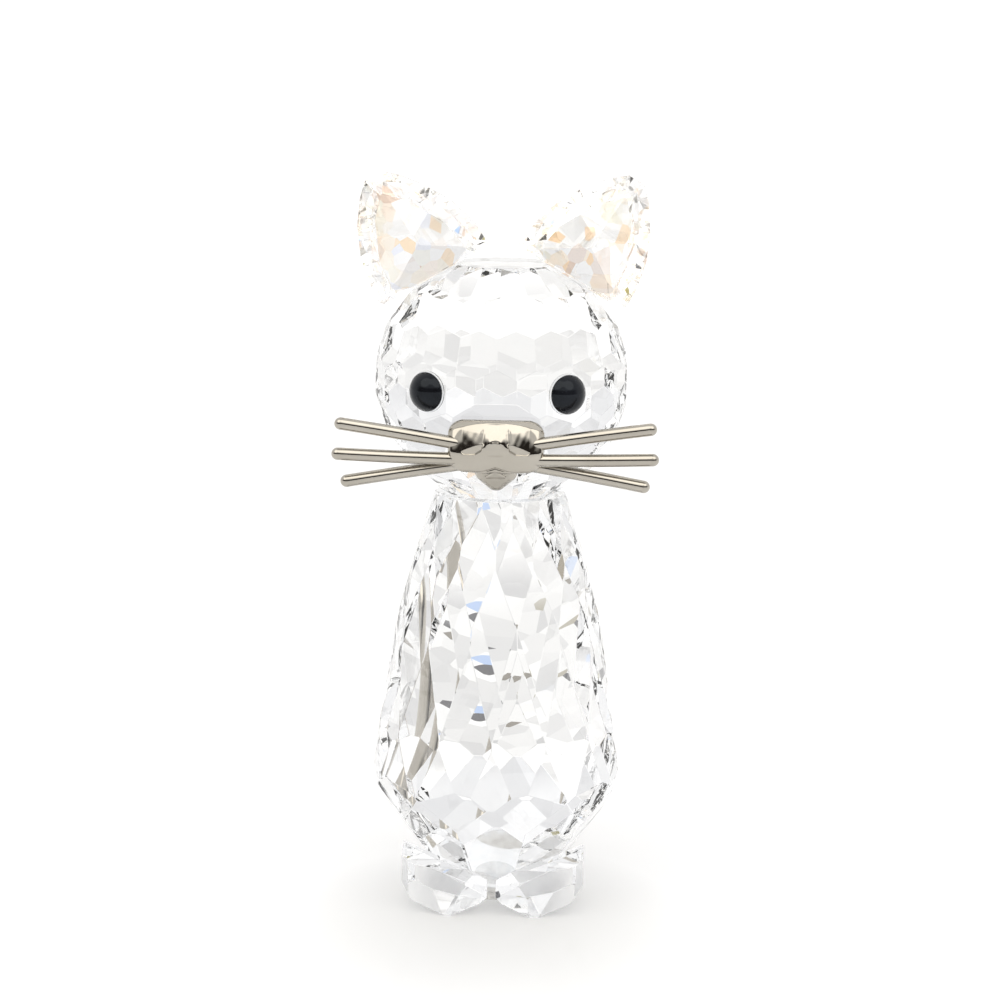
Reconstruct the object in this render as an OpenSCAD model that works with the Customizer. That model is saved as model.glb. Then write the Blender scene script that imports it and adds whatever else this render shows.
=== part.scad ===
// Seated crystal glass cat, about 59 mm tall.
// Cut crystal pieces, black cabochon eyes and plated metal trim, all bonded together.
// +Z up, face towards -Y, origin on the table under the middle of the body's base.

/* [Body crystal] */
// Height of the body crystal, from the table to its neck flat
body_h = 33.3; // [32.7:0.1:34]
// Distance from the axis to the belly facets
belly_r = 9.9; // [9.6:0.1:10.2]
// Number of facets around each upper row of the body
body_n = 14; // [12:1:16]

/* [Head crystal] */
// Distance across the opposite facets of the head ball
head_d = 20; // [19.4:0.1:20.4]
// Number of facets around each row of the head ball
head_n = 20; // [16:2:22]
// Distance from the middle of the head ball to its neck flat
neck_drop = 9.1; // [8.9:0.05:9.3]

/* [Ears] */
// Angle of each ear above the horizontal, as seen from the front
ear_angle = 59.4; // [57:0.1:61]
// Length of the ear's lower side
ear_base = 9.9; // [9.4:0.1:10.4]
// Height of the ear above its seat
ear_h = 9.55; // [9:0.05:10]
// Depth of the ear from its table to the girdle
ear_crown = 1.25; // [1.1:0.05:1.4]

/* [Eyes] */
// Diameter of the cabochon eyes
eye_d = 3.07; // [2.9:0.01:3.2]
// Angle of each eye from the middle of the face
eye_turn = 33; // [31:0.5:35]

/* [Muzzle and whiskers] */
// How far the middle of the muzzle sits below the head's equator, in degrees
muzzle_drop = 26; // [24:0.5:27]
// Diameter of the whisker rods
whisker_d = 1.0; // [0.8:0.05:1]
// How far the whiskers stand out from the middle of the face
whisker_reach = 12.1; // [10:0.1:13]

/* [Feet] */
// Width of each foot stone
foot_w = 7.0; // [6.6:0.1:7.1]
// Height of each foot stone at its outer end
foot_h = 5.35; // [5:0.05:5.6]

/* [Tail] */
// Diameter of the tail rod
tail_d = 2.3; // [2:0.1:2.5]
// Lean of the tail to one side, in degrees
tail_lean = 14; // [0:1:18]

/* [Hidden] */
$fn = 48;

// thickness of the clear adhesive between two bonded faces
bond_t = 0.1;
head_r = head_d / 2;
head_z = body_h + bond_t + neck_drop;
k_r = belly_r / 9.9;

// ---------- cut stones: each is the space inside a list of facet planes ----------
// a plane is [outward unit normal, distance from the origin]
function unit(v) = v / norm(v);
function dir(az, el) = [sin(az) * cos(el), -cos(az) * cos(el), sin(el)];
// plane at radius r and height z, facing az round the axis and el above the horizontal
function ring_plane(az, el, r, z) = [dir(az, el), r * cos(el) + z * sin(el)];
function ring(n, el, r, z, turn = 0) =
  [for (i = [0:n - 1]) ring_plane((i + turn) * 360 / n, el, r, z)];
// plane through p that faces v
function at_plane(v, p) = [unit(v), unit(v) * p];

// keeps the part of a flat polygon that lies inside one plane
function clip(q, pl) = let (m = len(q)) m < 3 ? [] :
  [for (i = [0:m - 1])
    let (p = q[i], r = q[(i + 1) % m], a = pl[0] * p - pl[1], b = pl[0] * r - pl[1])
    each concat(a <= 1e-7 ? [p] : [],
      (a < -1e-7 && b > 1e-7) || (a > 1e-7 && b < -1e-7) ? [p + (r - p) * (a / (a - b))] : [])];
function clip_all(q, pls, skip, k = 0) =
  k >= len(pls) || len(q) < 3 ? q
  : clip_all(k == skip ? q : clip(q, pls[k]), pls, skip, k + 1);
// one facet: a big square in its plane, cut back by every other plane
function facet(pls, i, s = 60) =
  let (n = pls[i][0], o = n * pls[i][1],
    u = unit(cross(n, abs(n.z) < 0.8 ? [0, 0, 1] : [1, 0, 0])), v = cross(n, u))
  clip_all([o + s * (u + v), o + s * (v - u), o - s * (u + v), o + s * (u - v)], pls, i);
function first_near(ps, p, i = 0) = norm(ps[i] - p) < 0.004 ? i : first_near(ps, p, i + 1);
function no_repeats(f) = let (m = len(f)) [for (i = [0:m - 1]) if (f[i] != f[(i + 1) % m]) f[i]];
module stone(pls) {
  fs = [for (i = [0:len(pls) - 1]) let (f = facet(pls, i)) if (len(f) > 2) f];
  ps = [for (f = fs) each f];
  ids = [for (p = ps) first_near(ps, p)];
  starts = [for (i = 0, s = 0; i < len(fs); s = s + len(fs[i]), i = i + 1) s];
  loops = [for (i = [0:len(fs) - 1]) no_repeats([for (j = [0:len(fs[i]) - 1]) ids[starts[i] + j]])];
  faces = [for (f = loops) if (len(f) > 2) [for (j = [len(f) - 1:-1:0]) f[j]]];
  used = [for (i = [0:len(ps) - 1]) if (ids[i] == i) i];
  polyhedron([for (i = used) ps[i]],
    [for (f = faces) [for (a = f) search(a, used)[0]]], convexity = 2);
}

// ---------- body ----------
// upper rows of long kites, then the round lower bulb with large facets
bulb_n = 10;
bulb_el = -35;
bulb_r = 7.6 * k_r;
bulb_z = 6;
body_planes = concat(
  ring(body_n, 21, 6.08 * k_r, 30.8),
  ring(body_n, 16, 7.02 * k_r, 27.3, 0.5),
  ring(body_n, 11.5, 8.0 * k_r, 23.0),
  ring(body_n, 8, 9.05 * k_r, 17.5, 0.5),
  ring(body_n, 2.5, 9.83 * k_r, 12.5),
  ring(bulb_n, -19, 9.55 * k_r, 9.3, 0.5),
  ring(bulb_n, bulb_el, bulb_r, bulb_z),
  [[[0, 0, 1], body_h], [[0, 0, -1], 0]]);
module body_crystal() color([0.93, 0.95, 0.96, 0.55]) stone(body_planes);

// ---------- head ----------
ear_seat_r = head_r - 0.27;
eye_seat_r = sqrt(head_r * head_r - eye_d * eye_d / 4 - 0.1);
muzzle_seat_r = head_r - 0.72;
function head_plane(v, d) = [v, d + v.z * head_z];
head_planes = concat(
  [for (row = [-3:3]) each [for (i = [0:head_n - 1])
    head_plane(dir((i + (row % 2 == 0 ? 0 : 0.5)) * 360 / head_n, row * 18), head_r)]],
  [head_plane([0, 0, 1], head_r * 0.925), head_plane([0, 0, -1], neck_drop)],
  [for (s = [-1, 1]) head_plane([s * cos(ear_angle), 0, sin(ear_angle)], ear_seat_r)],
  [for (s = [-1, 1]) head_plane(dir(s * eye_turn, 0), eye_seat_r)],
  [head_plane(dir(0, -muzzle_drop), muzzle_seat_r)]);
module head_crystal() color([0.93, 0.95, 0.96, 0.55]) stone(head_planes);

// ---------- ears: curved-side triangular stones, table to the front ----------
// corners of the outline, [out along the head, up from the seat]
ear_tip = [0.45, ear_h + 0.25];
ear_in = [-ear_base / 2, -0.3];
ear_out = [ear_base / 2, -0.3];
ear_sag = 1.4;
ear_girdle = 0.45;
// side of the outline from a to b as n facets on one arc, each [normal, distance]
function arc_side(a, b, k) =
  let (c = norm(b - a), r = (c * c / 4 + ear_sag * ear_sag) / (2 * ear_sag),
    e = (b - a) / c, n = [e.y, -e.x], o = (a + b) / 2 - n * (r - ear_sag), w = asin(c / 2 / r))
  [for (i = [0:k - 1]) let (t = (2 * i + 1) / k - 1, m = n * cos(w * t) + e * sin(w * t)) [m, m * o + r]];
function corner_cut(p, q, c) = let (m = (p - q) / norm(p - q)) [m, m * p - c];
ear_mid = (ear_tip + ear_in + ear_out) / 3;
function ear_sides(k) = concat(arc_side(ear_in, ear_out, k), arc_side(ear_out, ear_tip, k), arc_side(ear_tip, ear_in, k),
  [corner_cut(ear_tip, ear_mid, 0.55), corner_cut(ear_in, ear_mid, 0.3), corner_cut(ear_out, ear_mid, 0.3)]);
ear_back_a = 41;
ear_planes = concat(
  [[[0, -1, 0], ear_crown + ear_girdle / 2], [[0, 0, -1], 0]],
  // girdle, then the crown to the front, then the two rows of the pavilion behind
  [for (s = ear_sides(5)) [[s[0].x, 0, s[0].y], s[1]]],
  [for (s = ear_sides(3)) let (a = 38)
    [[s[0].x * sin(a), -cos(a), s[0].y * sin(a)], s[1] * sin(a) + ear_girdle / 2 * cos(a)]],
  [for (s = ear_sides(4)) let (a = ear_back_a)
    [[s[0].x * sin(a), cos(a), s[0].y * sin(a)], s[1] * sin(a) + ear_girdle / 2 * cos(a)]],
  [for (s = ear_sides(2)) let (a = ear_back_a - 9)
    [[s[0].x * sin(a), cos(a), s[0].y * sin(a)], (s[1] - 1.7) * sin(a) + (ear_girdle / 2 + 1.7 * tan(ear_back_a) - 0.12) * cos(a)]]);
module ear_place(s) translate([0, 0, head_z]) mirror([s < 0 ? 1 : 0, 0, 0])
  rotate([0, 90 - ear_angle, 0]) translate([0.45, 0, ear_seat_r + bond_t]) children();
module ear_crystal(s) color([0.96, 0.86, 0.78, 0.7]) ear_place(s) stone(ear_planes);

// ---------- eyes ----------
eye_rise = 0.95;
eye_ball = (eye_d * eye_d / 4 + eye_rise * eye_rise) / (2 * eye_rise);
module eye_place(s) translate([0, 0, head_z]) rotate([0, 0, s * eye_turn]) rotate([90, 0, 0])
  translate([0, 0, eye_seat_r]) children();
module eye(s) color([0.05, 0.05, 0.06]) eye_place(s) translate([0, 0, bond_t])
  intersection() {
    cylinder(d = eye_d, h = 2);
    translate([0, 0, eye_rise + 0.2 - eye_ball]) sphere(eye_ball);
  }

// ---------- muzzle: one casting with cheeks, nose ridge and chin on a flat back ----------
// local axes: X across the face, Y up the seat, Z out of the seat
muzzle_w = 3.72;
muzzle_h = 1.9;
// right half of the outline, from the middle of the top edge to the tip of the chin
muzzle_half = [[0, 2.55], [1.2, 2.55], [2.35, 2.5], [3.1, 2.2], [3.55, 1.65], [muzzle_w, 0.9], [muzzle_w, 0.1],
  [3.7, -0.6], [3.45, -1.15], [2.9, -1.55], [2.2, -1.8], [1.75, -2.15], [1.6, -2.6], [1.25, -3.15], [0.7, -3.55], [0, -3.7]];
muzzle_outline = concat(muzzle_half, [for (i = [len(muzzle_half) - 2:-1:1]) [-muzzle_half[i].x, muzzle_half[i].y]]);
// from the seat over the rounded rim to the middle: [share of the outline's reach, share of the height]
muzzle_rise = [[1, 0], [1, 0.55], [0.985, 0.7], [0.955, 0.83], [0.9, 0.92], [0.8, 0.97], [0.6, 0.99], [0.3, 1]];
// the cheeks slope back towards the top, and the chin lies a little lower
function muzzle_top(y) = muzzle_h * (1 - 0.2 * max(0, y - 0.3) - 0.1 * max(0, -y - 0.7));
module muzzle_body() {
  n = len(muzzle_outline);
  m = len(muzzle_rise);
  rings = [for (r = muzzle_rise) [for (p = muzzle_outline)
    [p.x * r[0], p.y * r[0], r[1] * muzzle_top(p.y * r[0])]]];
  polyhedron(concat([for (r = rings) each r], [[0, 0, muzzle_h]]),
    concat([[for (i = [n - 1:-1:0]) i]],
      [for (k = [0:m - 2], i = [0:n - 1]) each let (j = (i + 1) % n, a = k * n, b = a + n)
        [[a + i, a + j, b + j], [a + i, b + j, b + i]]],
      [for (i = [0:n - 1]) [(m - 1) * n + i, (m - 1) * n + (i + 1) % n, m * n]]), convexity = 4);
}
module muzzle_place() translate([0, 0, head_z]) rotate([90 + muzzle_drop, 0, 0])
  translate([0, 0, muzzle_seat_r + bond_t]) children();
module muzzle() color([0.74, 0.71, 0.66]) difference() {
  muzzle_place() union() {
    muzzle_body();
    // nose ridge
    translate([0, -0.2, 1.13]) rotate([-90, 0, 0]) cylinder(r = 0.76, h = 1.9);
    translate([0, 1.7, 1.13]) sphere(0.76);
  }
  for (s = [-1, 1], i = [0:2]) whisker_rod(s, i, whisker_d / 2 + 0.01);
}

// ---------- whiskers: straight rods with round ends, set in the cheeks ----------
// root and tip of the three rods on one side; the fan is measured from the muzzle's middle
whisker_x = 2.6;
fan_z = head_z - 5.05;
whisker_root = [[whisker_x, -9.39, fan_z + 1.15], [whisker_x, -9.22, fan_z - 0.03], [whisker_x, -8.34, fan_z - 0.57]];
whisker_tip = [[whisker_reach - 0.2, -10.8, fan_z + 2.8], [whisker_reach, -11, fan_z + 0.48], [whisker_reach - 0.65, -10.4, fan_z - 1.72]];
// carries +Z onto the line from a to b
module along(a, b) let (v = b - a)
  translate(a) rotate([0, acos(v.z / norm(v)), atan2(v.y, v.x)]) children();
module whisker_rod(s, i, r) mirror([s < 0 ? 1 : 0, 0, 0]) along(whisker_root[i], whisker_tip[i]) {
  cylinder(r = r, h = norm(whisker_tip[i] - whisker_root[i]), $fn = 32);
  translate([0, 0, norm(whisker_tip[i] - whisker_root[i])]) sphere(r, $fn = 32);
}
module whisker(s, i) color([0.76, 0.73, 0.69]) union() whisker_rod(s, i, whisker_d / 2);

// ---------- feet: cut stones against the bulb, toe to the front ----------
seat_az = 36;
seat_n = dir(seat_az, bulb_el);
seat_d = bulb_r * cos(bulb_el) + bulb_z * sin(bulb_el);
foot_x = 3.85;
toe = [3.5, -7.7, 0];
foot_planes = [
  // back face on the bulb's facet, and the narrow flat that meets the table
  [-seat_n, -(seat_d + bond_t)], [[0, 0, -1], 0],
  // front table, turned out a little and leaning back
  at_plane(dir(7, 17), toe),
  // chamfers at the table's two ends
  at_plane(dir(62, 6), [foot_x + foot_w / 2 - 0.2, -6.0, 1.5]),
  at_plane(dir(-60, 4), [foot_x - foot_w / 2 + 0.12, -7.0, 1.5]),
  // sides
  [[1, 0, 0], foot_x + foot_w / 2], [[-1, 0, 0], -(foot_x - foot_w / 2)],
  at_plane(dir(128, 0), [foot_x + foot_w / 2 - 0.5, -1.2, 0]),
  // under facets that rise from the toe to each side
  at_plane([0.38, -0.05, -0.92], toe + [0.35, 0, 0]), at_plane([-0.42, -0.05, -0.9], toe - [0.35, 0, 0]),
  at_plane([0.86, -0.2, -0.47], [foot_x + foot_w / 2 - 0.1, -5, 1.7]),
  // crown band along the top: a shallow inner part, a steeper outer part and a small cap
  at_plane([-0.105, -0.297, 0.949], [5, -6.6, foot_h - 1.85]),
  at_plane([-0.169, -0.635, 0.754], [5, -6.6, foot_h - 1.85]),
  at_plane([0.18, -0.2, 0.96], [foot_x + 2.9, -4.9, foot_h])];
module foot_place(s) mirror([s < 0 ? 1 : 0, 0, 0]) children();
module foot(s) color([0.93, 0.95, 0.96, 0.55]) foot_place(s) stone(foot_planes);

// ---------- tail: one tapered, bent rod on a round pad, behind the body ----------
tail_r = tail_d / 2;
tail_seat_z = 3.9;
tail_seat_y = bulb_r + (tail_seat_z - bulb_z) * tan(-bulb_el);
// length of each stretch of the tail and how far it turns, in degrees: out, up, long rise, curl
tail_run = [[2.6, 0], [7.4, 128], [11, -22], [6, -75]];
tail_step = 0.45;
tail_sides = 16;
pad_r = 1.9;
tail_len = tail_run[0][0] + tail_run[1][0] + tail_run[2][0] + tail_run[3][0];
// turn per millimetre at distance s along the tail
function tail_turn(s, i = 0) = i >= len(tail_run) ? 0
  : s <= tail_run[i][0] ? tail_run[i][1] / tail_run[i][0] : tail_turn(s - tail_run[i][0], i + 1);
// pad, its fillet, then a slow taper to the round tip
function tail_rad(s) = s < 0.7 ? pad_r
  : s < 1.5 ? tail_r + (pad_r - tail_r) * pow((1.5 - s) / 0.8, 2)
  : let (r = tail_r * (1 - 0.26 * s / tail_len), e = tail_len - s)
    e < r ? sqrt(max(0, r * r - (r - e) * (r - e))) : r;
// local: X away from the body, Y up; each entry is [distance, point, heading]
tail_path = [for (s = 0, p = [0, 0], h = 0; s < tail_len + 0.001;
  p = p + tail_step * [cos(h), sin(h)], h = h + tail_turn(s + tail_step / 2) * tail_step, s = s + tail_step)
  [s, p, h]];
tail_rings = [for (k = [0:len(tail_path) - 1]) let (q = tail_path[k], r = max(0.12, tail_rad(q[0])))
  [for (i = [0:tail_sides - 1]) let (a = i * 360 / tail_sides)
    [q[1].x - r * cos(a) * sin(q[2]), q[1].y + r * cos(a) * cos(q[2]), r * sin(a)]]];
module tail_rod() {
  n = tail_sides;
  m = len(tail_rings);
  polyhedron([for (r = tail_rings) each r],
    concat([[for (i = [n - 1:-1:0]) i]], [[for (i = [0:n - 1]) (m - 1) * n + i]],
      [for (k = [0:m - 2], i = [0:n - 1]) each let (j = (i + 1) % n, a = k * n, b = a + n)
        [[a + i, a + j, b + j], [a + i, b + j, b + i]]]), convexity = 6);
}
module tail_place() translate([0, tail_seat_y, tail_seat_z]) rotate([0, 0, 90]) rotate([90, 0, 0])
  rotate([0, 0, bulb_el]) children();
module tail() color([0.76, 0.73, 0.69])
  tail_place() translate([bond_t, 0, 0]) rotate([tail_lean, 0, 0]) tail_rod();

// ---------- bonds: thin clear adhesive between the faces ----------
module bond_disc(r) color([0.9, 0.93, 0.95, 0.4]) cylinder(r = r, h = bond_t);
module neck_bond() translate([0, 0, body_h]) bond_disc(3.1);
module ear_bond(s) translate([0, 0, head_z]) mirror([s < 0 ? 1 : 0, 0, 0])
  rotate([0, 90 - ear_angle, 0]) translate([0.1, 0, ear_seat_r]) color([0.9, 0.93, 0.95, 0.4])
  linear_extrude(bond_t) hull() for (x = [-1.2, 1.2]) translate([x, 0.1]) circle(0.85, $fn = 32);
module eye_bond(s) eye_place(s) bond_disc(eye_d / 2 - 0.12);
module muzzle_bond() muzzle_place() translate([0, 0, -bond_t]) bond_disc(2.1);
module foot_bond(s) foot_place(s) rotate([0, 0, seat_az]) translate([0, -(bulb_r + (2.2 - bulb_z) * tan(-bulb_el)), 2.2])
  rotate([90 - bulb_el, 0, 0]) bond_disc(1.25);
module tail_bond() translate([0, tail_seat_y, tail_seat_z]) rotate([-90 + bulb_el, 0, 0]) bond_disc(pad_r - 0.15);

body_crystal();
head_crystal();
ear_crystal(-1);  // ear_crystal_left
ear_crystal(1);  // ear_crystal_right
eye(-1);  // eye_left
eye(1);  // eye_right
muzzle();
whisker(-1, 0);  // whisker_left_upper
whisker(-1, 1);  // whisker_left_middle
whisker(-1, 2);  // whisker_left_lower
whisker(1, 0);  // whisker_right_upper
whisker(1, 1);  // whisker_right_middle
whisker(1, 2);  // whisker_right_lower
foot(-1);  // foot_left
foot(1);  // foot_right
tail();
neck_bond();
ear_bond(-1);  // ear_bond_left
ear_bond(1);  // ear_bond_right
eye_bond(-1);  // eye_bond_left
eye_bond(1);  // eye_bond_right
muzzle_bond();
foot_bond(-1);  // foot_bond_left
foot_bond(1);  // foot_bond_right
tail_bond();
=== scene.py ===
import math

import bmesh
import bpy
import numpy as np
from mathutils import Matrix, Vector


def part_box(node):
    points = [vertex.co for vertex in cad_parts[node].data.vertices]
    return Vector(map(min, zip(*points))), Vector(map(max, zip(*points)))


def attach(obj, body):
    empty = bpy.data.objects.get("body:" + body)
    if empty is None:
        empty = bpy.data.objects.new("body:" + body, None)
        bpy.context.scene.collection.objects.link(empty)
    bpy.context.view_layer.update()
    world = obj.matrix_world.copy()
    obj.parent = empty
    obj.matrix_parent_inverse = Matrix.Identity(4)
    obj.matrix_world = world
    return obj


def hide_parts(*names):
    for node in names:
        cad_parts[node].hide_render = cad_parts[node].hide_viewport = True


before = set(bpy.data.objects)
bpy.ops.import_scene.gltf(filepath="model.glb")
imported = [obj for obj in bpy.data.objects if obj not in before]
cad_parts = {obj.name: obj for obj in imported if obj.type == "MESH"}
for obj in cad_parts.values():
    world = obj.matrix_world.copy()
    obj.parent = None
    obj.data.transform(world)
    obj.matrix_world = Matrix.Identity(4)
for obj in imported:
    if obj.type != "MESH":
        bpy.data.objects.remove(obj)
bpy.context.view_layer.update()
MM = 0.001
col = bpy.context.scene.collection
rad = math.radians

# ------------------------------------------------------------------ camera
# A close view from a little above the face, turned a touch to the cat's left.
CAM_AZ, CAM_D, CAM_Z = rad(2.3), 0.22974, 0.07463
PITCH, ROLL, FOCAL_PX = rad(10.376), rad(0.8), 2891.5
cam_data = bpy.data.cameras.new("camera")
cam_data.sensor_width = 36.0
cam_data.lens = FOCAL_PX * 36.0 / 1000.0
cam_data.clip_start = 0.005
cam_data.clip_end = 60.0
cam = bpy.data.objects.new("camera", cam_data)
col.objects.link(cam)
ahead = Vector((-math.sin(CAM_AZ) * math.cos(PITCH), math.cos(CAM_AZ) * math.cos(PITCH), -math.sin(PITCH)))
right = Vector((math.cos(CAM_AZ), math.sin(CAM_AZ), 0.0))
up = right.cross(ahead)
right, up = right * math.cos(ROLL) + up * math.sin(ROLL), up * math.cos(ROLL) - right * math.sin(ROLL)
cam.matrix_world = Matrix(
    (
        (right.x, up.x, -ahead.x, CAM_D * math.sin(CAM_AZ)),
        (right.y, up.y, -ahead.y, -CAM_D * math.cos(CAM_AZ)),
        (right.z, up.z, -ahead.z, CAM_Z),
        (0, 0, 0, 1),
    )
)
bpy.context.scene.camera = cam


# ------------------------------------------------------------------ node helpers
def nodes_of(name):
    m = bpy.data.materials.new(name)
    m.use_nodes = True
    nt = m.node_tree
    for n in list(nt.nodes):
        nt.nodes.remove(n)
    out = nt.nodes.new("ShaderNodeOutputMaterial")
    b = nt.nodes.new("ShaderNodeBsdfPrincipled")
    nt.links.new(b.outputs[0], out.inputs[0])
    return m, nt, b


def noise(nt, scale, detail=2.0, rough=0.5, coords=None, distort=0.0):
    n = nt.nodes.new("ShaderNodeTexNoise")
    n.inputs["Scale"].default_value = scale
    n.inputs["Detail"].default_value = detail
    n.inputs["Roughness"].default_value = rough
    n.inputs["Distortion"].default_value = distort
    nt.links.new(coords or obj_coords(nt), n.inputs["Vector"])
    return n


def obj_coords(nt):
    for n in nt.nodes:
        if n.type == "TEX_COORD":
            return n.outputs["Object"]
    return nt.nodes.new("ShaderNodeTexCoord").outputs["Object"]


def ramp(nt, src, stops, interp="LINEAR"):
    r = nt.nodes.new("ShaderNodeValToRGB")
    r.color_ramp.interpolation = interp
    e = r.color_ramp.elements
    while len(e) < len(stops):
        e.new(0.5)
    for k, (p, c) in enumerate(stops):
        e[k].position = p
        e[k].color = (*c, 1.0) if len(c) == 3 else c
    nt.links.new(src, r.inputs[0])
    return r


def to_range(nt, src, lo, hi, a=0.0, b=1.0):
    m = nt.nodes.new("ShaderNodeMapRange")
    m.inputs["From Min"].default_value = a
    m.inputs["From Max"].default_value = b
    m.inputs["To Min"].default_value = lo
    m.inputs["To Max"].default_value = hi
    nt.links.new(src, m.inputs["Value"])
    return m.outputs[0]


def bump(nt, b, height, strength, dist):
    n = nt.nodes.new("ShaderNodeBump")
    n.inputs["Strength"].default_value = strength
    n.inputs["Distance"].default_value = dist
    nt.links.new(height, n.inputs["Height"])
    nt.links.new(n.outputs[0], b.inputs["Normal"])


# ------------------------------------------------------------------ materials
def crystal_material(name, tint, ior=1.56):
    """Polished crystal: clear, with the faintest polish haze and ripple on its facets."""
    m, nt, b = nodes_of(name)
    b.inputs["Transmission Weight"].default_value = 1.0
    b.inputs["IOR"].default_value = ior
    haze = noise(nt, 420.0, 3.0)
    c = ramp(nt, haze.outputs["Fac"], [(0.25, tint), (0.75, (1.0, 1.0, 1.0))])
    nt.links.new(c.outputs[0], b.inputs["Base Color"])
    polish = noise(nt, 900.0, 2.0)
    nt.links.new(to_range(nt, polish.outputs["Fac"], 0.0, 0.012, 0.45, 0.8), b.inputs["Roughness"])
    ripple = noise(nt, 260.0, 1.0)
    bump(nt, b, ripple.outputs["Fac"], 0.02, 0.00002)
    return m


def film_material():
    """Back facets of the ears: a thin evaporated film that throws back peach, amber and a little blue."""
    m, nt, b = nodes_of("ear_film")
    b.inputs["Transmission Weight"].default_value = 1.0
    b.inputs["IOR"].default_value = 1.56
    b.inputs["Roughness"].default_value = 0.02
    patches = nt.nodes.new("ShaderNodeTexVoronoi")
    patches.feature = "F1"
    patches.inputs["Scale"].default_value = 820.0
    patches.inputs["Randomness"].default_value = 1.0
    nt.links.new(obj_coords(nt), patches.inputs["Vector"])
    pick = nt.nodes.new("ShaderNodeSeparateColor")
    nt.links.new(patches.outputs["Color"], pick.inputs[0])
    c = ramp(
        nt,
        pick.outputs[0],
        [
            (0.0, (1.0, 1.0, 0.99)),
            (0.36, (1.0, 1.0, 1.0)),
            (0.40, (1.0, 0.90, 0.74)),
            (0.50, (0.98, 0.63, 0.32)),
            (0.60, (0.99, 0.97, 0.94)),
            (0.70, (0.70, 0.46, 0.32)),
            (0.76, (0.97, 0.95, 0.80)),
            (0.84, (0.82, 0.86, 1.0)),
            (0.90, (0.86, 0.84, 0.66)),
            (1.0, (0.99, 0.86, 0.70)),
        ],
    )
    nt.links.new(c.outputs[0], b.inputs["Base Color"])
    film = noise(nt, 160.0, 2.0)
    nt.links.new(to_range(nt, film.outputs["Fac"], 0.05, 0.55, 0.35, 0.65), b.inputs["Metallic"])
    return m


def metal_material():
    """Polished warm nickel plate with soft casting waves and fine polishing marks."""
    m, nt, b = nodes_of("nickel")
    b.inputs["Metallic"].default_value = 1.0
    tone = noise(nt, 240.0, 4.0)
    c = ramp(nt, tone.outputs["Fac"], [(0.3, (0.41, 0.383, 0.335)), (0.7, (0.475, 0.448, 0.402))])
    nt.links.new(c.outputs[0], b.inputs["Base Color"])
    wear = noise(nt, 1100.0, 4.0, 0.6)
    nt.links.new(to_range(nt, wear.outputs["Fac"], 0.05, 0.15, 0.35, 0.7), b.inputs["Roughness"])
    waves = noise(nt, 520.0, 2.0)
    bump(nt, b, waves.outputs["Fac"], 0.05, 0.00006)
    return m


def jet_material():
    """Black polished cabochon: deep gloss with a faint grey bloom."""
    m, nt, b = nodes_of("jet")
    tone = noise(nt, 700.0, 3.0)
    c = ramp(nt, tone.outputs["Fac"], [(0.3, (0.004, 0.004, 0.005)), (0.75, (0.012, 0.013, 0.017))])
    nt.links.new(c.outputs[0], b.inputs["Base Color"])
    b.inputs["IOR"].default_value = 1.3
    b.inputs["Specular Tint"].default_value = (0.8, 0.9, 1.0, 1.0)
    gloss = noise(nt, 1500.0, 3.0)
    nt.links.new(to_range(nt, gloss.outputs["Fac"], 0.02, 0.07, 0.4, 0.75), b.inputs["Roughness"])
    ripple = noise(nt, 600.0, 1.0)
    bump(nt, b, ripple.outputs["Fac"], 0.03, 0.00003)
    return m


def bond_material():
    """Cured clear adhesive with a few trapped specks."""
    m, nt, b = nodes_of("clear_bond")
    b.inputs["Transmission Weight"].default_value = 1.0
    b.inputs["IOR"].default_value = 1.5
    specks = noise(nt, 1400.0, 2.0)
    c = ramp(nt, specks.outputs["Fac"], [(0.35, (0.93, 0.95, 0.97)), (0.6, (1.0, 1.0, 1.0))])
    nt.links.new(c.outputs[0], b.inputs["Base Color"])
    nt.links.new(to_range(nt, specks.outputs["Fac"], 0.02, 0.12, 0.4, 0.8), b.inputs["Roughness"])
    return m


CRYSTAL = crystal_material("crystal", (0.985, 0.99, 0.995))
EAR_FRONT = crystal_material("ear_front", (0.995, 0.993, 0.985))
EAR_FILM = film_material()
NICKEL = metal_material()
JET = jet_material()
BOND = bond_material()


# ------------------------------------------------------------------ mesh helpers
def add(name, mesh, node, mats, smooth=False):
    o = bpy.data.objects.new(name, mesh)
    col.objects.link(o)
    for m in mats:
        mesh.materials.append(m)
    for p in mesh.polygons:
        p.use_smooth = smooth
    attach(o, "root")
    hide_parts(*([node] if isinstance(node, str) else node))
    return o


def from_arrays(name, verts, faces):
    me = bpy.data.meshes.new(name)
    me.from_pydata([tuple(v) for v in verts], [], [tuple(f) for f in faces])
    me.validate()
    me.update()
    return me


def facets_of(node):
    """The flat facets of a cut CAD stone, each as (outward normal, its corners in order)."""
    bm = bmesh.new()
    bm.from_mesh(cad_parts[node].data)
    bmesh.ops.remove_doubles(bm, verts=bm.verts, dist=1.5e-6)
    bmesh.ops.dissolve_limit(bm, angle_limit=rad(0.5), verts=bm.verts, edges=bm.edges)
    bmesh.ops.recalc_face_normals(bm, faces=bm.faces)
    middle = sum((v.co for v in bm.verts), Vector()) / len(bm.verts)
    found = []
    for f in bm.faces:
        n = f.normal.copy()
        pts = [v.co.copy() for v in f.verts]
        if (f.calc_center_median() - middle).dot(n) < 0:
            n = -n
            pts.reverse()
        found.append((n, pts))
    bm.free()
    return found


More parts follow.
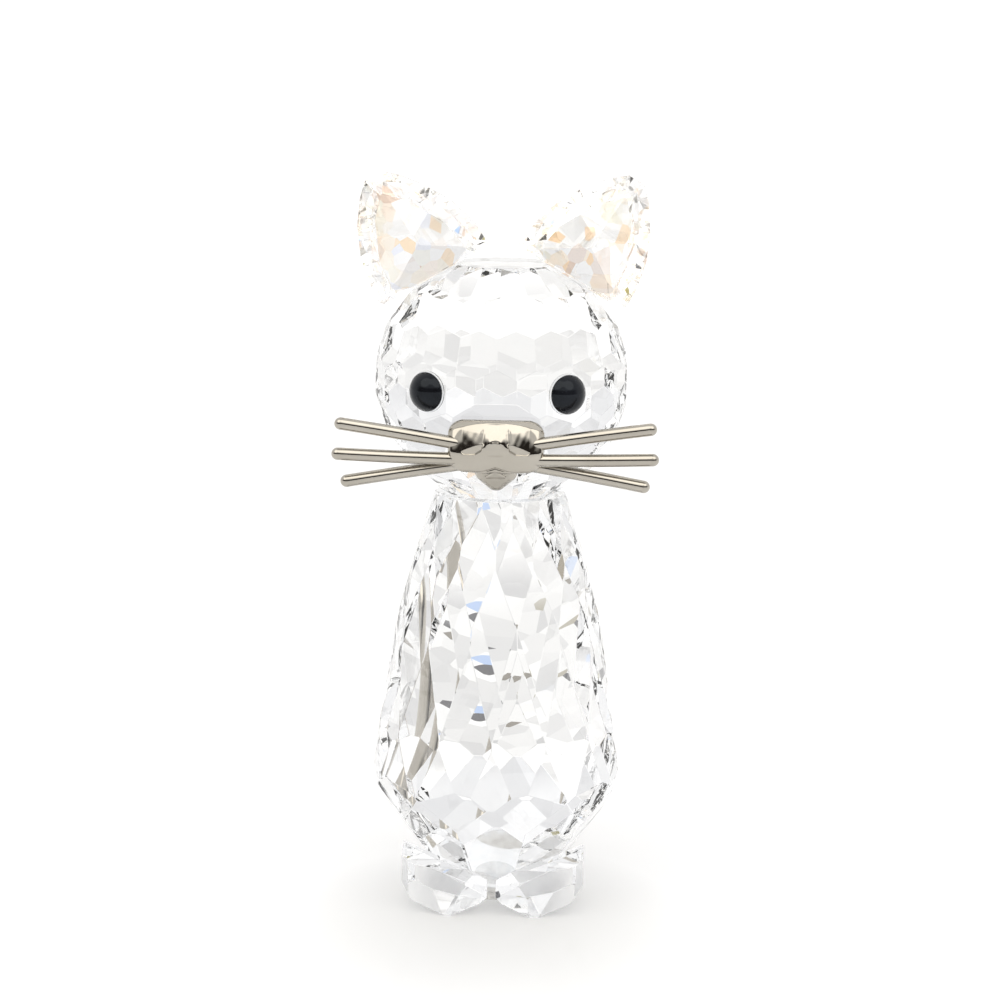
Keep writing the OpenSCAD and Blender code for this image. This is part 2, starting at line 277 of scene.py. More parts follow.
def inset(n, pts, w):
    """A facet's polygon drawn in by w along every edge."""
    kept = list(pts)
    for i in range(len(pts)):
        a, b = pts[i], pts[(i + 1) % len(pts)]
        if (b - a).length < 2e-6:
            continue
        m = n.cross(b - a).normalized()
        d = m.dot(a) + w
        out = []
        for j in range(len(kept)):
            p, q = kept[j], kept[(j + 1) % len(kept)]
            s, t = m.dot(p) - d, m.dot(q) - d
            if s >= 0:
                out.append(p)
            if (s > 0) != (t > 0) and abs(s - t) > 1e-12:
                out.append(p + (q - p) * (s / (s - t)))
        kept = out
        if len(kept) < 3:
            return []
    return kept


def cut_stone(name, node, mats, pick=None, edge=0.022, grow=0.0):
    """A convex stone with truly flat facets and narrow polished edges between them."""
    bm = bmesh.new()
    for n, pts in facets_of(node):
        for p in inset(n, pts, edge * MM):
            bm.verts.new(p + n * grow)
    bmesh.ops.remove_doubles(bm, verts=bm.verts, dist=4e-7)
    made = bmesh.ops.convex_hull(bm, input=bm.verts)
    loose = [v for v in bm.verts if not v.link_faces]
    bmesh.ops.delete(bm, geom=loose, context="VERTS")
    bmesh.ops.dissolve_limit(bm, angle_limit=rad(0.25), verts=bm.verts, edges=bm.edges)
    bmesh.ops.recalc_face_normals(bm, faces=bm.faces)
    if pick:
        for f in bm.faces:
            f.material_index = pick(f.normal)
    me = bpy.data.meshes.new(name)
    bm.to_mesh(me)
    bm.free()
    return add(name, me, node, mats)


def lathe(profile, place, steps=64):
    """Closed solid of revolution about local Z. profile runs from the axis below to the axis above, in mm."""
    verts, faces = [], []
    rings = []
    for r, z in profile:
        if r < 1e-6:
            rings.append([len(verts)])
            verts.append(place @ Vector((0, 0, z * MM)))
        else:
            rings.append(list(range(len(verts), len(verts) + steps)))
            for k in range(steps):
                a = 2 * math.pi * k / steps
                verts.append(place @ Vector((r * MM * math.cos(a), r * MM * math.sin(a), z * MM)))
    for a, b in zip(rings, rings[1:]):
        for k in range(steps):
            j = (k + 1) % steps
            if len(a) == 1:
                faces.append((a[0], b[j], b[k]))
            elif len(b) == 1:
                faces.append((a[k], a[j], b[0]))
            else:
                faces.append((a[k], a[j], b[j], b[k]))
    return verts, faces


def sweep(points, radii, sides=32, start_dir=None):
    """Tube along points (mm), with its own radius at each, closed at both ends. Returns verts in metres and faces."""
    pts = [Vector(p) for p in points]
    verts, faces = [], []
    t0 = (pts[1] - pts[0]).normalized()
    ref = Vector((0, 0, 1)) if abs(t0.z) < 0.9 else Vector((0, 1, 0))
    u = (ref - t0 * ref.dot(t0)).normalized()
    n = len(pts)
    for i, p in enumerate(pts):
        t = (pts[min(i + 1, n - 1)] - pts[max(i - 1, 0)]).normalized()
        u = (u - t * u.dot(t)).normalized()
        v = t.cross(u)
        for k in range(sides):
            a = 2 * math.pi * k / sides
            verts.append((p + (u * math.cos(a) + v * math.sin(a)) * radii[i]) * MM)
    for i in range(n - 1):
        for k in range(sides):
            j = (k + 1) % sides
            faces.append((i * sides + k, i * sides + j, (i + 1) * sides + j, (i + 1) * sides + k))
    a = len(verts)
    verts.append(pts[0] * MM)
    verts.append(pts[-1] * MM)
    for k in range(sides):
        j = (k + 1) % sides
        faces.append((a, j, k))
        faces.append((a + 1, (n - 1) * sides + k, (n - 1) * sides + j))
    return verts, faces


def surface_net(f, low, high, h, polish=3):
    """Mesh of f(x, y, z) = 0 (negative inside), in mm: one vertex a crossed cell, then drawn onto the surface."""
    axes = [np.arange(low[i], high[i] + h, h) for i in range(3)]
    g = np.meshgrid(*axes, indexing="ij")
    d = f(*g)
    inside = d < 0
    nx, ny, nz = [len(a) - 1 for a in axes]
    total = np.zeros((nx, ny, nz, 3))
    count = np.zeros((nx, ny, nz))
    corners = [(i, j, k) for i in (0, 1) for j in (0, 1) for k in (0, 1)]

    def at(arr, c):
        return arr[c[0] : c[0] + nx, c[1] : c[1] + ny, c[2] : c[2] + nz]

    for c in corners:
        for ax in range(3):
            if c[ax]:
                continue
            e = list(c)
            e[ax] = 1
            da, db = at(d, c), at(d, e)
            cross = (da < 0) != (db < 0)
            t = np.where(cross, da / np.where(cross, da - db, 1), 0)
            for w in range(3):
                base = c[w] + (t if w == ax else 0)
                total[..., w] += np.where(cross, base, 0)
            count += cross
    has = count > 0
    index = np.full((nx, ny, nz), -1)
    index[has] = np.arange(has.sum())
    cell = np.argwhere(has)
    pos = (cell + total[has] / count[has][:, None]) * h + np.array([a[0] for a in axes])
    faces = []
    for ax in range(3):
        b, c = (ax + 1) % 3, (ax + 2) % 3
        lo = [slice(1, n) for n in (nx, ny, nz)]
        lo[ax] = slice(0, (nx, ny, nz)[ax])
        hi = list(lo)
        hi[ax] = slice(1, (nx, ny, nz)[ax] + 1)
        s0, s1 = inside[tuple(lo)], inside[tuple(hi)]
        for i, j, k in np.argwhere(s0 != s1):
            p = [i, j, k]
            p[b] += 1
            p[c] += 1
            quad = []
            for db, dc in ((0, 0), (-1, 0), (-1, -1), (0, -1)):
                q = list(p)
                q[b] += db
                q[c] += dc
                quad.append(index[tuple(q)])
            if not s0[i, j, k]:
                quad.reverse()
            faces.append(quad)
    e = h * 0.2
    for _ in range(polish):
        x, y, z = pos.T
        v = f(x, y, z)
        gx = (f(x + e, y, z) - f(x - e, y, z)) / (2 * e)
        gy = (f(x, y + e, z) - f(x, y - e, z)) / (2 * e)
        gz = (f(x, y, z + e) - f(x, y, z - e)) / (2 * e)
        grad = np.stack([gx, gy, gz], 1)
        step = (v / np.maximum((grad**2).sum(1), 1e-3))[:, None] * grad
        size = np.linalg.norm(step, axis=1, keepdims=True)
        pos = pos - step * np.minimum(1, 0.5 * h / np.maximum(size, 1e-9))
    return pos, faces


# ------------------------------------------------------------------ places taken from the frame
def middle_of(node):
    a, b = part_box(node)
    return (a + b) / 2


head_low, head_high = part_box("head_crystal")
body_low, body_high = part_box("body_crystal")
HEAD_Z = head_low.z + 0.0091
HEAD = Vector((0, 0, HEAD_Z))
BOND_T = 0.1

# ------------------------------------------------------------------ crystal pieces
cut_stone("body_stone", "body_crystal", [CRYSTAL], edge=0.03)
cut_stone("head_stone", "head_crystal", [CRYSTAL], edge=0.022)
for side in ("left", "right"):
    cut_stone(f"ear_stone_{side}", f"ear_crystal_{side}", [EAR_FRONT, EAR_FILM],
              pick=lambda n: 1 if n.y > 0.3 else 0, edge=0.02)
    cut_stone(f"foot_stone_{side}", f"foot_{side}", [CRYSTAL], edge=0.025)


# ------------------------------------------------------------------ eyes
def face_place(az, el, r):
    """Local +Z along the direction (az, el) from the head's middle, origin at radius r mm."""
    d = Vector((math.sin(az) * math.cos(el), -math.cos(az) * math.cos(el), math.sin(el)))
    return Matrix.Translation(HEAD + d * r * MM) @ d.to_track_quat("Z", "Y").to_matrix().to_4x4()


EYE_R, EYE_RISE = 1.535, 0.95
EYE_SEAT = math.sqrt(100 - EYE_R**2 - 0.1)
BALL = (EYE_R**2 + EYE_RISE**2) / (2 * EYE_RISE)
for s, side in ((-1, "left"), (1, "right")):
    place = face_place(s * rad(33), 0, EYE_SEAT + BOND_T)
    prof = [(0, 0), (EYE_R - 0.12, 0), (EYE_R - 0.035, 0.035), (EYE_R, 0.12)]
    a1 = math.acos((BALL - EYE_RISE) / BALL)
    for k in range(0, 19):
        a = a1 * (1 - k / 18)
        prof.append((BALL * math.sin(a) if k < 18 else 0.0, 0.2 + EYE_RISE - BALL + BALL * math.cos(a)))
    v, f = lathe(prof, place, 72)
    add(f"eye_{side}_cabochon", from_arrays(f"eye_{side}_cabochon", v, f), f"eye_{side}", [JET], True)
    # adhesive with its small fillet round the eye
    place = face_place(s * rad(33), 0, EYE_SEAT)
    prof = [(0, 0.012), (1.60, 0.012), (1.625, 0.03), (1.60, 0.07), (1.57, 0.088), (0, 0.088)]
    v, f = lathe(prof, place, 72)
    add(f"eye_{side}_film", from_arrays(f"eye_{side}_film", v, f), f"eye_bond_{side}", [BOND], False)

# ------------------------------------------------------------------ muzzle
# Local axes: X across the face, Y up the seat, Z out of the seat, in mm.
MUZ_DROP = rad(26)
SEAT_R = 9.28 + BOND_T
hz = HEAD_Z / MM
muz_out = Vector((0, -math.cos(MUZ_DROP), -math.sin(MUZ_DROP)))
muz_up = Vector((0, -math.sin(MUZ_DROP), math.cos(MUZ_DROP)))
muz_o = Vector((0, 0, hz)) + muz_out * SEAT_R


def smin(a, b, k):
    h = np.clip(0.5 + 0.5 * (b - a) / k, 0, 1)
    return b * (1 - h) + a * h - k * h * (1 - h)


def smax(a, b, k):
    return -smin(-a, -b, k)


def box2(x, y, cx, cy, hx, hy, r):
    qx, qy = np.abs(x - cx) - hx + r, np.abs(y - cy) - hy + r
    return np.hypot(np.maximum(qx, 0), np.maximum(qy, 0)) + np.minimum(np.maximum(qx, qy), 0) - r


def poly2(x, y, pts):
    """Distance to a polygon, negative inside."""
    d = np.full(np.broadcast(x, y).shape, 1e9)
    inside = np.zeros(d.shape, bool)
    for i in range(len(pts)):
        ax, ay = pts[i]
        bx, by = pts[i - 1]
        ex, ey = bx - ax, by - ay
        t = np.clip(((x - ax) * ex + (y - ay) * ey) / (ex * ex + ey * ey), 0, 1)
        d = np.minimum(d, np.hypot(x - ax - t * ex, y - ay - t * ey))
        crosses = (ay > y) != (by > y)
        with np.errstate(divide="ignore", invalid="ignore"):
            side = x < ex * (y - ay) / (ey if ey else 1e-9) + ax
        inside ^= crosses & side
    return np.where(inside, -d, d)


def line2(x, y, a, b):
    ex, ey = b[0] - a[0], b[1] - a[1]
    t = np.clip(((x - a[0]) * ex + (y - a[1]) * ey) / (ex * ex + ey * ey), 0, 1)
    return np.hypot(x - a[0] - t * ex, y - a[1] - t * ey)


def rounded(flat, above, r):
    """Solid over an outline (flat < 0), under a height (above < 0), with its edge rounded by r."""
    return np.minimum(np.maximum(flat + r, above + r), 0) + np.hypot(np.maximum(flat + r, 0), np.maximum(above + r, 0)) - r


LEAF = [(2.66, 0.52), (1.14, 1.46), (0.99, 1.3), (1.14, 0.76), (1.62, 0.42), (2.44, 0.36)]


def muzzle(x, y, z):
    ax = np.abs(x)
    pillow = box2(x, y, 0, 0.44, 3.7, 1.97, 1.3)
    chin2 = poly2(x, y, [(1.2, -0.6), (1.02, -2.1), (0.1, -3.05), (-0.1, -3.05), (-1.02, -2.1), (-1.2, -0.6)]) - 0.64
    # cheeks: level below, sloping back above a crease that rises towards the nose, then rolling over
    crease = np.maximum(1.46 - 0.62 * (ax - 1.1), 0.54)
    level = 1.9 - 0.02 * ax * ax - 0.015 * y * y
    slope = 1.6 - 0.64 * (y - crease)
    roll = 1.6 - 0.64 * (1.02 - crease) - 1.02 * (y - 1.02) - 0.09 * (ax - 1.9) ** 2
    top = smin(smin(level, slope, 0.1), roll, 0.3)
    wave = 0.008 * np.sin(6.1 * x + 1.9 * y + 0.6) * np.sin(5.3 * y - 1.7 * x + 1.1) + 0.005 * np.sin(11.0 * x - 6.0 * y)
    top = top + wave * np.clip((y - 0.6) / 0.5, 0, 1)
    # leaf-shaped hollow under each cheek's crease
    leaf = poly2(ax, y, LEAF) - 0.06
    hollow = 1.585 - 0.13 * (y - crease)
    top = np.where(leaf < 0.04, np.minimum(top, hollow + np.clip(leaf + 0.03, 0, 1) * 4.0), top)
    # nose ridge: level with the lower face, it rounds over between the cheeks
    reach = np.hypot(x, np.maximum(y - 0.9, 0) * 1.15)
    ridge = 1.9 - 0.03 * np.maximum(y, 0) ** 2 - 0.06 * x * x - 0.9 * np.maximum(reach - 0.6, 0) ** 1.5 - 0.35 * np.maximum(reach - 0.35, 0) ** 2
    top = smax(top, ridge - 1.2 * np.maximum(0.5 - y, 0) ** 2, 0.1)
    # a shallow valley between the nose and each cheek
    valley = np.exp(-(((ax - 0.98 + 0.1 * (y - 1.4)) / 0.15) ** 2)) * np.clip((y - 1.0) / 0.25, 0, 1) * np.clip((2.3 - y) / 0.4, 0, 1)
    top = top - 0.085 * valley
    side = np.clip((y - 0.8) / 1.0, 0, 1)
    body = rounded(pillow, z - top, 0.42 + 0.22 * side)
    # chin, tucked in under the mouth line
    chin = rounded(chin2, z - (1.66 + 0.13 * (y + 1.2) - 0.06 * ax * ax), 0.75)
    d = smin(body, chin, 0.08)
    front = np.clip((z - 0.7) / 0.3, 0, 1)
    # groove round the nose pad
    pad = poly2(x, y, [(0.42, 1.12), (0.2, 1.42), (-0.2, 1.42), (-0.42, 1.12)]) - 0.1
    d = d + 0.02 * np.exp(-((pad / 0.05) ** 2)) * front
    # mouth line and the small hollow under it
    mouth = np.minimum(line2(ax, y, (0.0, -0.86), (0.7, -1.14)), line2(ax, y, (0.7, -1.14), (1.5, -1.5)))
    d = d + 0.1 * np.exp(-((mouth / 0.07) ** 2)) * front
    lip = poly2(x, y, [(0.64, -1.95), (0.0, -1.5), (-0.64, -1.95)]) - 0.12
    d = d + (0.06 * np.clip(0.5 - lip / 0.07, 0, 1) + 0.06 * np.exp(-((lip / 0.045) ** 2))) * front
    # fine step where the side meets the seat
    rim = rounded(smin(pillow, chin2, 0.2) - 0.03, z - 0.3, 0.05)
    d = smin(d, rim, 0.03)
    return np.maximum(d, -z)


pos, quads = surface_net(muzzle, (-4.0, -4.1, -0.13), (4.0, 3.1, 2.4), 0.05, 4)
pos[:, 2] = np.maximum(pos[:, 2], 0.0)
pos = np.array([(muz_o + Vector((x, 0, 0)) + muz_up * y + muz_out * z) * MM for x, y, z in pos])
me = from_arrays("muzzle_cast", pos, quads)
bm = bmesh.new()
bm.from_mesh(me)
bmesh.ops.recalc_face_normals(bm, faces=bm.faces)
bm.to_mesh(me)
bm.free()
muz = add("muzzle_cast", me, "muzzle", [NICKEL], True)

place = face_place(0, -MUZ_DROP, 9.28)
v, f = lathe([(0, 0.012), (2.06, 0.012), (2.1, 0.05), (2.06, 0.088), (0, 0.088)], place, 64)
add("muzzle_film", from_arrays("muzzle_film", v, f), "muzzle_bond", [BOND])

# ------------------------------------------------------------------ whiskers
fan = hz - 5.05
ROOT = [(2.6, -9.39, fan + 1.15), (2.6, -9.22, fan - 0.03), (2.6, -8.34, fan - 0.57)]
TIP = [(11.9, -10.8, fan + 2.8), (12.1, -11.0, fan + 0.48), (11.45, -10.4, fan - 1.72)]
for s, side in ((-1, "left"), (1, "right")):
    for i, level in enumerate(("upper", "middle", "lower")):
        a, b = Vector(ROOT[i]), Vector(TIP[i])
        a.x *= s
        b.x *= s
        L = (b - a).length
        t = (b - a) / L
        side_dir = t.cross(Vector((0, 1, 0))).normalized()
        pts, radii = [], []
        R = 0.5
        for k in range(25):
            w = k / 24
            bow = 0.035 * math.sin(math.pi * w) * (1 if (i + (s > 0)) % 2 else -1)
            pts.append(a + t * L * w + side_dir * bow)
            radii.append(R - 0.012 * w)
        # round end
        R = radii[-1]
        for k in range(1, 9):
            g = math.pi / 2 * k / 8
            pts.append(b + t * R * math.sin(g))
            radii.append(max(R * math.cos(g), 0.012))
        v, f = sweep(pts, radii, 32)
        name = f"whisker_{side}_{level}_rod"
        add(name, from_arrays(name, v, f), f"whisker_{side}_{level}", [NICKEL], True)


# ------------------------------------------------------------------ tail
def tail_mesh():
    run = [(2.6, 0.0), (7.4, 128.0), (11.0, -22.0), (6.0, -75.0)]
    length = sum(r[0] for r in run)
    r0, pad = 1.15, 1.9

    def turn(s):
        for n, a in run:
            if s <= n:
                return a / n
            s -= n
        return 0.0

    def radius(s):
        if s < 0.7:
            return pad
        if s < 1.5:
            return r0 + (pad - r0) * ((1.5 - s) / 0.8) ** 2
        r = r0 * (1 - 0.26 * s / length)
        e = length - s
        return math.sqrt(max(0.0, r * r - (r - e) ** 2)) if e < r else r

    # the track in coarse steps, then a smooth curve through it
    step = 0.45
    p, h = np.zeros(2), 0.0
    coarse = []
    for k in range(int(round(length / step)) + 1):
        coarse.append((k * step, p.copy(), h))
        p = p + step * np.array([math.cos(rad(h)), math.sin(rad(h))])
        h += turn((k + 0.5) * step) * step
    pts = np.array([c[1] for c in coarse])
    tan = np.gradient(pts, axis=0)
    keep = []
    fine = 9
    for k in range(len(coarse) - 1):
        for i in range(fine):
            t = i / fine
            q = (
                (2 * t**3 - 3 * t**2 + 1) * pts[k] + (t**3 - 2 * t**2 + t) * tan[k]
                + (3 * t**2 - 2 * t**3) * pts[k + 1] + (t**3 - t**2) * tan[k + 1]
            )
            keep.append(((k + t) * step, q, coarse[k][2] + (coarse[k + 1][2] - coarse[k][2]) * (t - 0.5)))
    keep.append((length, pts[-1], coarse[-1][2]))
    keep = [q for k, q in enumerate(keep) if k % 3 == 0 or q[0] < 1.6 or q[0] > length - 1.0]
    el = -35.0
    seat_z = 3.9
    seat_y = 7.6 + (seat_z - 6) * math.tan(rad(35))
    place = (
        Matrix.Translation((0, seat_y * MM, seat_z * MM))
        @ Matrix.Rotation(rad(90), 4, "Z")
        @ Matrix.Rotation(rad(90), 4, "X")
        @ Matrix.Rotation(rad(el), 4, "Z")
        @ Matrix.Translation((BOND_T * MM, 0, 0))
        @ Matrix.Rotation(rad(14), 4, "X")
    )
    sides = 40
    verts, faces = [], []
    for s, q, h in keep:
        r = max(0.02, radius(s))
        if s < 0.08:
            r -= 0.08 - s
        for k in range(sides):
            a = 2 * math.pi * k / sides
            verts.append(place @ Vector(((q[0] - r * math.cos(a) * math.sin(rad(h))) * MM,
                                         (q[1] + r * math.cos(a) * math.cos(rad(h))) * MM, r * math.sin(a) * MM)))
    n = len(keep)
    for i in range(n - 1):
        for k in range(sides):
            j = (k + 1) % sides
            faces.append((i * sides + k, i * sides + j, (i + 1) * sides + j, (i + 1) * sides + k))
    faces.append(tuple(range(sides - 1, -1, -1)))
    faces.append(tuple((n - 1) * sides + k for k in range(sides)))
    return verts, faces


v, f = tail_mesh()
me = from_arrays("tail_rod", v, f)
bm = bmesh.new()
bm.from_mesh(me)
bmesh.ops.recalc_face_normals(bm, faces=bm.faces)
bm.to_mesh(me)
bm.free()
tail = add("tail_rod", me, "tail", [NICKEL], True)


# ------------------------------------------------------------------ the other adhesive films
def film(name, node):
    """The CAD film drawn in a hundredth of a millimetre, so that it never shares a face with a crystal."""
    bm = bmesh.new()
    bm.from_mesh(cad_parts[node].data)
    bmesh.ops.remove_doubles(bm, verts=bm.verts, dist=1.5e-6)
    bmesh.ops.recalc_face_normals(bm, faces=bm.faces)
    bm.normal_update()
    shift = {v: v.normal * -0.000014 for v in bm.verts}
    for v, d in shift.items():
        v.co += d
    me = bpy.data.meshes.new(name)
    bm.to_mesh(me)
    bm.free()
    return add(name, me, node, [BOND])


film("neck_film", "neck_bond")
film("tail_film", "tail_bond")
for side in ("left", "right"):
    film(f"ear_{side}_film", f"ear_bond_{side}")
    film(f"foot_{side}_film", f"foot_bond_{side}")

# ------------------------------------------------------------------ floor
me = bpy.data.meshes.new("floor")
S = 14.0
me.from_pydata([(-S, -S, 0), (S, -S, 0), (S, S, 0), (-S, S, 0)], [], [(0, 1, 2, 3)])
floor = bpy.data.objects.new("floor", me)
col.objects.link(floor)
floor.location.z = -0.00002
m, nt, b = nodes_of("glossy_white")
mottle = noise(nt, 30.0, 3.0)
clean = ramp(nt, mottle.outputs["Fac"], [(0.3, (0.935, 0.935, 0.94)), (0.7, (0.95, 0.95, 0.95))])
# what the crystal bends towards itself, seen only by rays leaving the crystal: pale grey patches on the table, painted
# shade for the cat's own shadow and caustics, a few small dark things, a grey cloth further off
def table_cells(scale):
    v = nt.nodes.new("ShaderNodeTexVoronoi")
    v.inputs["Scale"].default_value = scale
    nt.links.new(obj_coords(nt), v.inputs["Vector"])
    c = nt.nodes.new("ShaderNodeSeparateColor")
    nt.links.new(v.outputs["Color"], c.inputs[0])
    return c.outputs


def mix_colour(nt, fac, a, b):
    mx = nt.nodes.new("ShaderNodeMix")
    mx.data_type = "RGBA"
    nt.links.new(fac, mx.inputs["Factor"])
    for name, v in (("A", a), ("B", b)):
        if isinstance(v, tuple):
            mx.inputs[name].default_value = (*v, 1)
        else:
            nt.links.new(v, mx.inputs[name])
    return mx.outputs["Result"]


def calc(op, a, b=0.0):
    n = nt.nodes.new("ShaderNodeMath")
    n.operation = op
    for k, v in enumerate((a, b)):
        if isinstance(v, (int, float)):
            n.inputs[k].default_value = v
        else:
            nt.links.new(v, n.inputs[k])
    return n.outputs[0]


at = nt.nodes.new("ShaderNodeSeparateXYZ")
nt.links.new(obj_coords(nt), at.inputs[0])
far = nt.nodes.new("ShaderNodeVectorMath")
far.operation = "LENGTH"
nt.links.new(obj_coords(nt), far.inputs[0])
far = far.outputs["Value"]
small, tiny, wide = table_cells(260.0), table_cells(560.0), table_cells(38.0)
# painted shade: pale grey patches that mottle the table with the cat's own shadow and caustics
painted_shade_greys = [(0.0, (0.60, 0.60, 0.61)), (0.2, (0.72, 0.72, 0.725)), (0.5, (0.82, 0.82, 0.82)), (0.8, (0.90, 0.90, 0.90)), (1.0, (0.97, 0.97, 0.97))]
darks = [(0.0, (0.16, 0.16, 0.17)), (0.35, (0.30, 0.28, 0.25)), (0.65, (0.44, 0.41, 0.34)), (0.85, (0.50, 0.62, 0.86))]
near = mix_colour(nt, calc("GREATER_THAN", tiny[1], 0.95), ramp(nt, small[0], painted_shade_greys).outputs[0], ramp(nt, tiny[2], darks, "CONSTANT").outputs[0])
cloth = ramp(nt, wide[0], [(0.0, (0.68, 0.68, 0.685)), (0.5, (0.77, 0.77, 0.77)), (1.0, (0.88, 0.88, 0.88))])
white = (0.985, 0.985, 0.985)
bent = mix_colour(nt, to_range(nt, far, 0.85, 0.0, 0.022, 0.028), near, white)
bent = mix_colour(nt, to_range(nt, far, 0.0, 1.0, 0.048, 0.056), bent, white)
bent = mix_colour(nt, to_range(nt, far, 0.0, 1.0, 0.11, 0.13), bent, cloth.outputs[0])
bent = mix_colour(nt, to_range(nt, far, 0.0, 1.0, 0.33, 0.5), bent, (0.9, 0.9, 0.9))
# a few named things on the table: (x, y, half width, half depth, colour), in metres
for cx, cy, hx, hy, c in (
    (-0.0340, 0.0315, 0.0042, 0.0060, (0.40, 0.36, 0.29)),
    (-0.0227, -0.0095, 0.0025, 0.0025, (0.03, 0.03, 0.03)),
    (-0.0105, -0.0250, 0.0016, 0.0014, (0.36, 0.34, 0.24)),
):
    dx = calc("ABSOLUTE", calc("SUBTRACT", at.outputs["X"], cx))
    dy = calc("ABSOLUTE", calc("SUBTRACT", at.outputs["Y"], cy))
    bent = mix_colour(nt, calc("MULTIPLY", calc("LESS_THAN", dx, hx), calc("LESS_THAN", dy, hy)), bent, c)
lp = nt.nodes.new("ShaderNodeLightPath")
# painted shadow: a soft grey patch in the floor's own colour lies in front of the feet
fx, fy = calc("DIVIDE", at.outputs["X"], 0.0145), calc("DIVIDE", calc("ADD", at.outputs["Y"], 0.009), 0.019)
reach = calc("ADD", calc("MULTIPLY", fx, fx), calc("MULTIPLY", fy, fy))
painted_shadow = mix_colour(nt, to_range(nt, reach, 0.7, 0.0, 0.1, 1.25), clean.outputs[0], (0.74, 0.74, 0.735))
nt.links.new(mix_colour(nt, lp.outputs["Is Transmission Ray"], painted_shadow, bent), b.inputs["Base Color"])
b.inputs["Specular IOR Level"].default_value = 0.0
sheen = nt.nodes.new("ShaderNodeBsdfGlossy")
nt.links.new(to_range(nt, mottle.outputs["Fac"], 0.07, 0.12, 0.3, 0.7), sheen.inputs["Roughness"])
both = nt.nodes.new("ShaderNodeMixShader")
both.inputs[0].default_value = 0.07
nt.links.new(b.outputs[0], both.inputs[1])
nt.links.new(sheen.outputs[0], both.inputs[2])
nt.links.new(both.outputs[0], next(n for n in nt.nodes if n.type == "OUTPUT_MATERIAL").inputs[0])
me.materials.append(m)

# ------------------------------------------------------------------ light
world = bpy.data.worlds.new("world")
bpy.context.scene.world = world
world.use_nodes = True
nt = world.node_tree
for n in list(nt.nodes):
    nt.nodes.remove(n)
out = nt.nodes.new("ShaderNodeOutputWorld")
tc = nt.nodes.new("ShaderNodeTexCoord")


def lobe(direction, inner, outer):
    """1 inside `inner` degrees of a direction, fading to 0 at `outer`."""
    d = Vector(direction).normalized()
    dot = nt.nodes.new("ShaderNodeVectorMath")
    dot.operation = "DOT_PRODUCT"
    nt.links.new(tc.outputs["Generated"], dot.inputs[0])
    dot.inputs[1].default_value = d
    return to_range(nt, dot.outputs["Value"], 0.0, 1.0, math.cos(rad(outer)), math.cos(rad(inner)))


def azel(az, el):
    """Direction az degrees round from the front (-Y), towards +X, and el degrees up."""
    a, e = rad(az), rad(el)
    return (math.sin(a) * math.cos(e), -math.cos(a) * math.cos(e), math.sin(e))


def blend_colour(base, colour, fac):
    mx = nt.nodes.new("ShaderNodeMix")
    mx.data_type = "RGBA"
    nt.links.new(fac, mx.inputs["Factor"])
    if isinstance(base, tuple):
        mx.inputs["A"].default_value = (*base, 1)
    else:
        nt.links.new(base, mx.inputs["A"])
    mx.inputs["B"].default_value = (*colour, 1)
    return mx.outputs["Result"]


def product(a, b):
    n = nt.nodes.new("ShaderNodeMath")
    n.operation = "MULTIPLY"
    nt.links.new(a, n.inputs[0])
    nt.links.new(b, n.inputs[1])
    return n.outputs[0]


def num(op, a, b=None):
    n = nt.nodes.new("ShaderNodeMath")
    n.operation = op
    for k, v in enumerate((a, b)):
        if v is None:
            continue
        if isinstance(v, (int, float)):
            n.inputs[k].default_value = v
        else:
            nt.links.new(v, n.inputs[k])
    return n.outputs[0]


def cells(scale, shift):
    """Random values per patch of directions: the mixed clutter of a white room."""
    mp = nt.nodes.new("ShaderNodeMapping")
    mp.inputs["Location"].default_value = shift
    nt.links.new(tc.outputs["Generated"], mp.inputs["Vector"])
    v = nt.nodes.new("ShaderNodeTexVoronoi")
    v.inputs["Scale"].default_value = scale
    nt.links.new(mp.outputs[0], v.inputs["Vector"])
    s = nt.nodes.new("ShaderNodeSeparateColor")
    nt.links.new(v.outputs["Color"], s.inputs[0])
    return s.outputs


sep = nt.nodes.new("ShaderNodeSeparateXYZ")
nt.links.new(tc.outputs["Generated"], sep.inputs[0])

# What shows through the crystal: a white room in patches of pale grey, with a few dark and tinted things in it.
big, small, specks = cells(4.5, (0.3, 0.1, 0.7)), cells(9.0, (0.9, 0.4, 0.2)), cells(14.0, (0.2, 0.8, 0.5))
pale = ramp(nt, big[0], [(0.0, (0.86, 0.86, 0.87)), (0.35, (0.95, 0.95, 0.955)), (0.7, (1.02, 1.02, 1.02)), (1.0, (1.08, 1.08, 1.08))])
fine = ramp(nt, small[0], [(0.0, (0.90, 0.90, 0.90)), (0.5, (0.98, 0.98, 0.98)), (1.0, (1.06, 1.06, 1.06))])
mul = nt.nodes.new("ShaderNodeMix")
mul.data_type = "RGBA"
mul.blend_type = "MULTIPLY"
mul.inputs["Factor"].default_value = 1.0
nt.links.new(pale.outputs[0], mul.inputs["A"])
nt.links.new(fine.outputs[0], mul.inputs["B"])
room = mul.outputs["Result"]
# a grey stripe runs along the wall behind, just above the table
height = ramp(nt, sep.outputs["Z"], [(0.0, (0, 0, 0)), (0.075, (0, 0, 0)), (0.09, (1, 1, 1)), (0.29, (1, 1, 1)), (0.36, (0, 0, 0))])
wall = product(to_range(nt, sep.outputs["Y"], 0.0, 1.0, 0.35, 0.75), height.outputs[0])
room = blend_colour(room, (0.76, 0.76, 0.77), num("MULTIPLY", wall, 0.85))
tint = ramp(nt, specks[2], [(0.0, (0.02, 0.02, 0.03)), (0.45, (0.05, 0.045, 0.04)), (0.6, (0.42, 0.38, 0.31)), (0.75, (0.35, 0.31, 0.10)), (0.88, (0.45, 0.62, 0.92)), (1.0, (0.62, 0.76, 1.0))], "CONSTANT")
mx = nt.nodes.new("ShaderNodeMix")
mx.data_type = "RGBA"
rare = num("ADD", to_range(nt, sep.outputs["Y"], 0.88, 0.992, -0.25, 0.3), to_range(nt, sep.outputs["Z"], 0.0, 0.09, 0.35, 0.55))
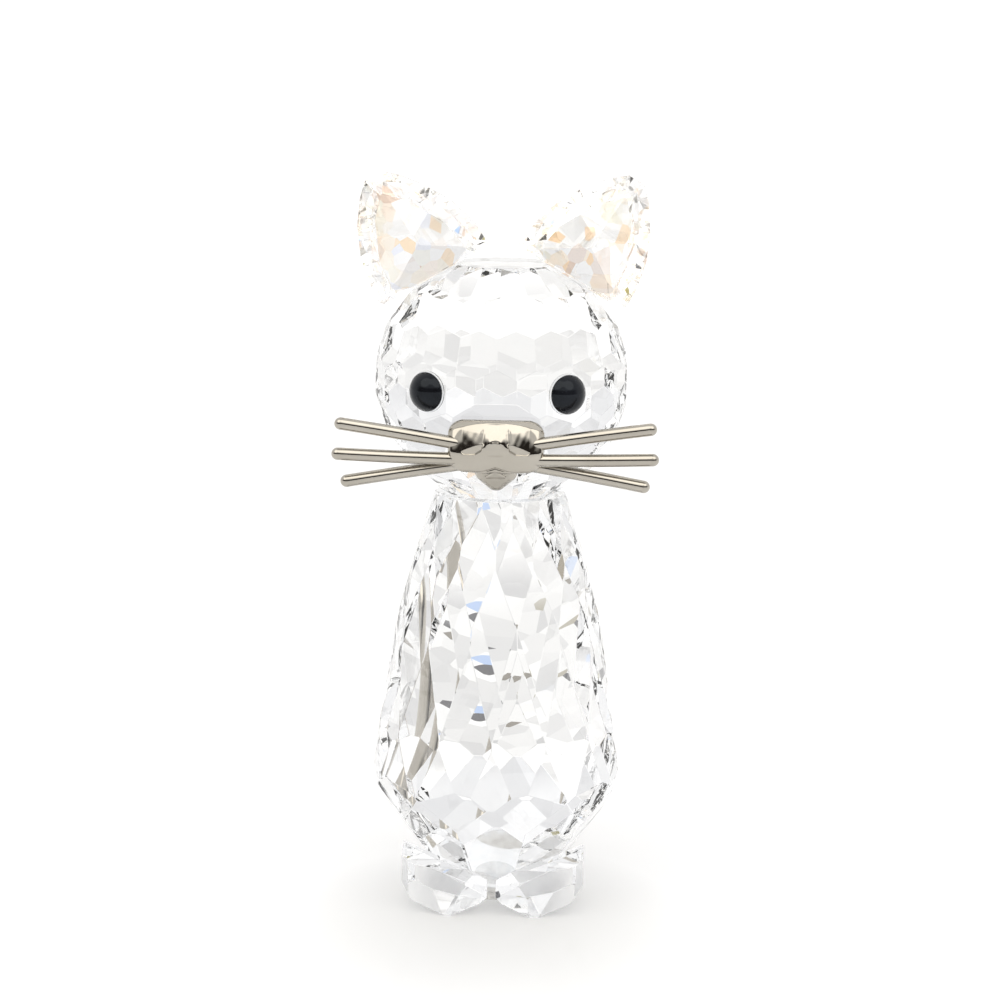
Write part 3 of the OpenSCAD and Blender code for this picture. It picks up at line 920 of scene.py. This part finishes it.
nt.links.new(num("GREATER_THAN", specks[1], rare), mx.inputs["Factor"])
nt.links.new(room, mx.inputs["A"])
nt.links.new(tint.outputs[0], mx.inputs["B"])
room = mx.outputs["Result"]

# What the metal and the eyes reflect: a dark room low down in front, three bright soft boxes above it, white elsewhere.
low_band = to_range(nt, sep.outputs["Z"], 1.0, 0.0, math.sin(rad(17)), math.sin(rad(26)))
front = to_range(nt, sep.outputs["Y"], 1.0, 0.0, -0.5, -0.1)
sky = blend_colour((1.0, 0.99, 0.97), (0.035, 0.03, 0.026), product(low_band, front))
for az, el, inner, outer in ((-3, 57, 13, 18), (-43, 49, 20, 27), (40, 49, 20, 27)):
    sky = blend_colour(sky, (2.35, 2.28, 2.14), lobe(azel(az, el), inner, outer))

kinds = []
for colour in (room, sky, (1.07, 1.07, 1.07), (1.0, 1.0, 1.0)):
    bg = nt.nodes.new("ShaderNodeBackground")
    if isinstance(colour, tuple):
        bg.inputs["Color"].default_value = (*colour, 1)
    else:
        nt.links.new(colour, bg.inputs["Color"])
    kinds.append(bg.outputs[0])
path = nt.nodes.new("ShaderNodeLightPath")


def choose(fac, a, b):
    n = nt.nodes.new("ShaderNodeMixShader")
    nt.links.new(fac, n.inputs[0])
    nt.links.new(a, n.inputs[1])
    nt.links.new(b, n.inputs[2])
    return n.outputs[0]


look = choose(path.outputs["Is Diffuse Ray"], kinds[1], kinds[2])
look = choose(path.outputs["Is Transmission Ray"], look, kinds[0])
look = choose(path.outputs["Is Camera Ray"], look, kinds[3])
nt.links.new(look, out.inputs[0])

sc = bpy.context.scene
sc.view_settings.view_transform = "Standard"
sc.view_settings.look = "None"
sc.view_settings.exposure = 0.0
sc.cycles.max_bounces = 32
sc.cycles.transmission_bounces = 32
sc.cycles.glossy_bounces = 16
sc.cycles.diffuse_bounces = 4
sc.cycles.transparent_max_bounces = 16
sc.cycles.caustics_reflective = True
sc.cycles.caustics_refractive = True
sc.cycles.blur_glossy = 0.2
sc.cycles.sample_clamp_indirect = 8.0
sc.cycles.use_denoising = True
